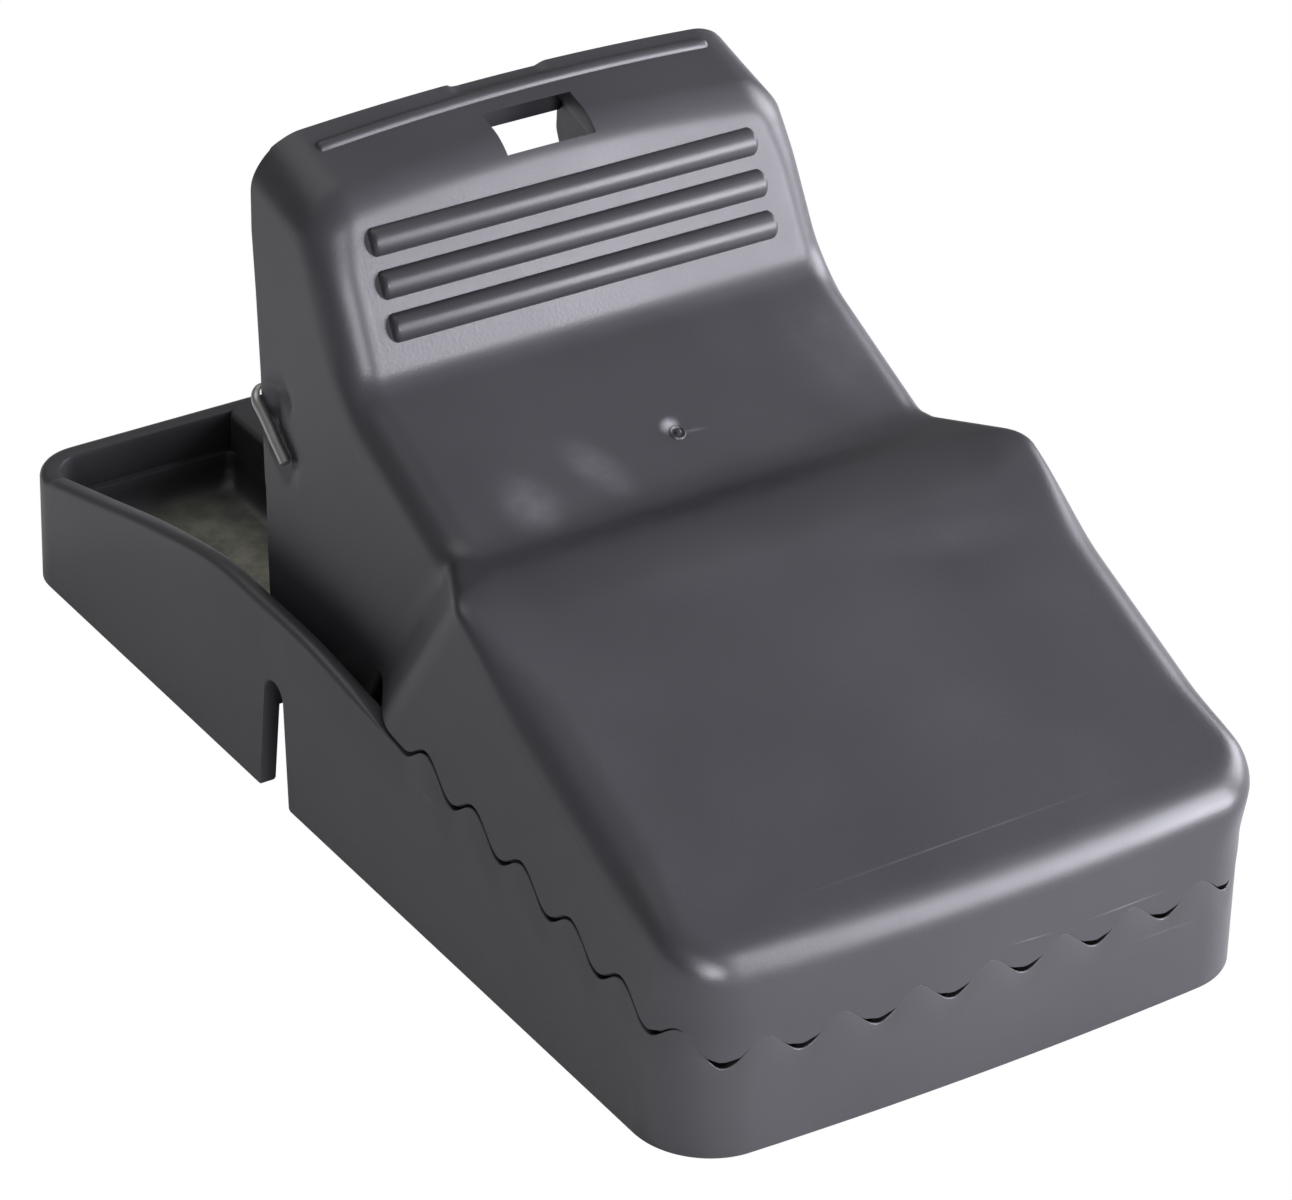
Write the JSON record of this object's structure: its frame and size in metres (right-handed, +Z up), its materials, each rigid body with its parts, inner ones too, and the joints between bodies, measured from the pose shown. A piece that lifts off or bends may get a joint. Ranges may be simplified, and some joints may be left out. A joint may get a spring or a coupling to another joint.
{
  "type": "snap mouse trap",
  "caption": "Clam-shaped snap trap with two toothed plastic jaws on a steel axle, a tall set lever, torsion springs, trigger pedal and bait cup.",
  "frame": {"origin": "on the ground under the middle of the trap's bounding box", "axes": "+Z up, -Y towards the biting front of the jaws, +Y towards the rear tray, X across the trap along its axle"},
  "size_m": [0.0748, 0.144, 0.0751],
  "materials": {
    "jaw_plastic": "charcoal black moulded plastic, semi-gloss",
    "trigger_plastic": "black moulded plastic, satin",
    "axle_steel": "bright drawn steel",
    "spring_steel": "zinc plated spring wire"
  },
  "bodies": {
    "base": {"lower_jaw": "jaw_plastic", "pivot_axle": "axle_steel", "axle_cap_left": "axle_steel", "axle_cap_right": "axle_steel", "jaw_spring_left": "spring_steel", "jaw_spring_right": "spring_steel", "trigger_pin": "axle_steel"},
    "jaw": {"upper_jaw": "jaw_plastic"},
    "pedal": {"trigger_pedal": "trigger_plastic"},
    "cup": {"bait_cup": "trigger_plastic"}
  },
  "joints": [
    {"name": "jaw_pivot", "type": "hinge", "parent": "base", "child": "jaw", "pos_m": [0, 0.011, 0.0133], "axis": [-1, 0, 0], "range_deg": [0, 65], "stiffness_Nm_per_rad": 0.15, "springref_deg": -34.38, "deforming": ["jaw_spring_left", "jaw_spring_right"]},
    {"name": "pedal_pivot", "type": "hinge", "parent": "base", "child": "pedal", "pos_m": [0, -0.0015, 0.0068], "axis": [-1, 0, 0], "range_deg": [0, 12]},
    {"name": "bait_cup_twist", "type": "hinge", "parent": "base", "child": "cup", "pos_m": [0, -0.032, 0.005], "axis": [0, 0, 1], "range_deg": [0, 90]}
  ]
}
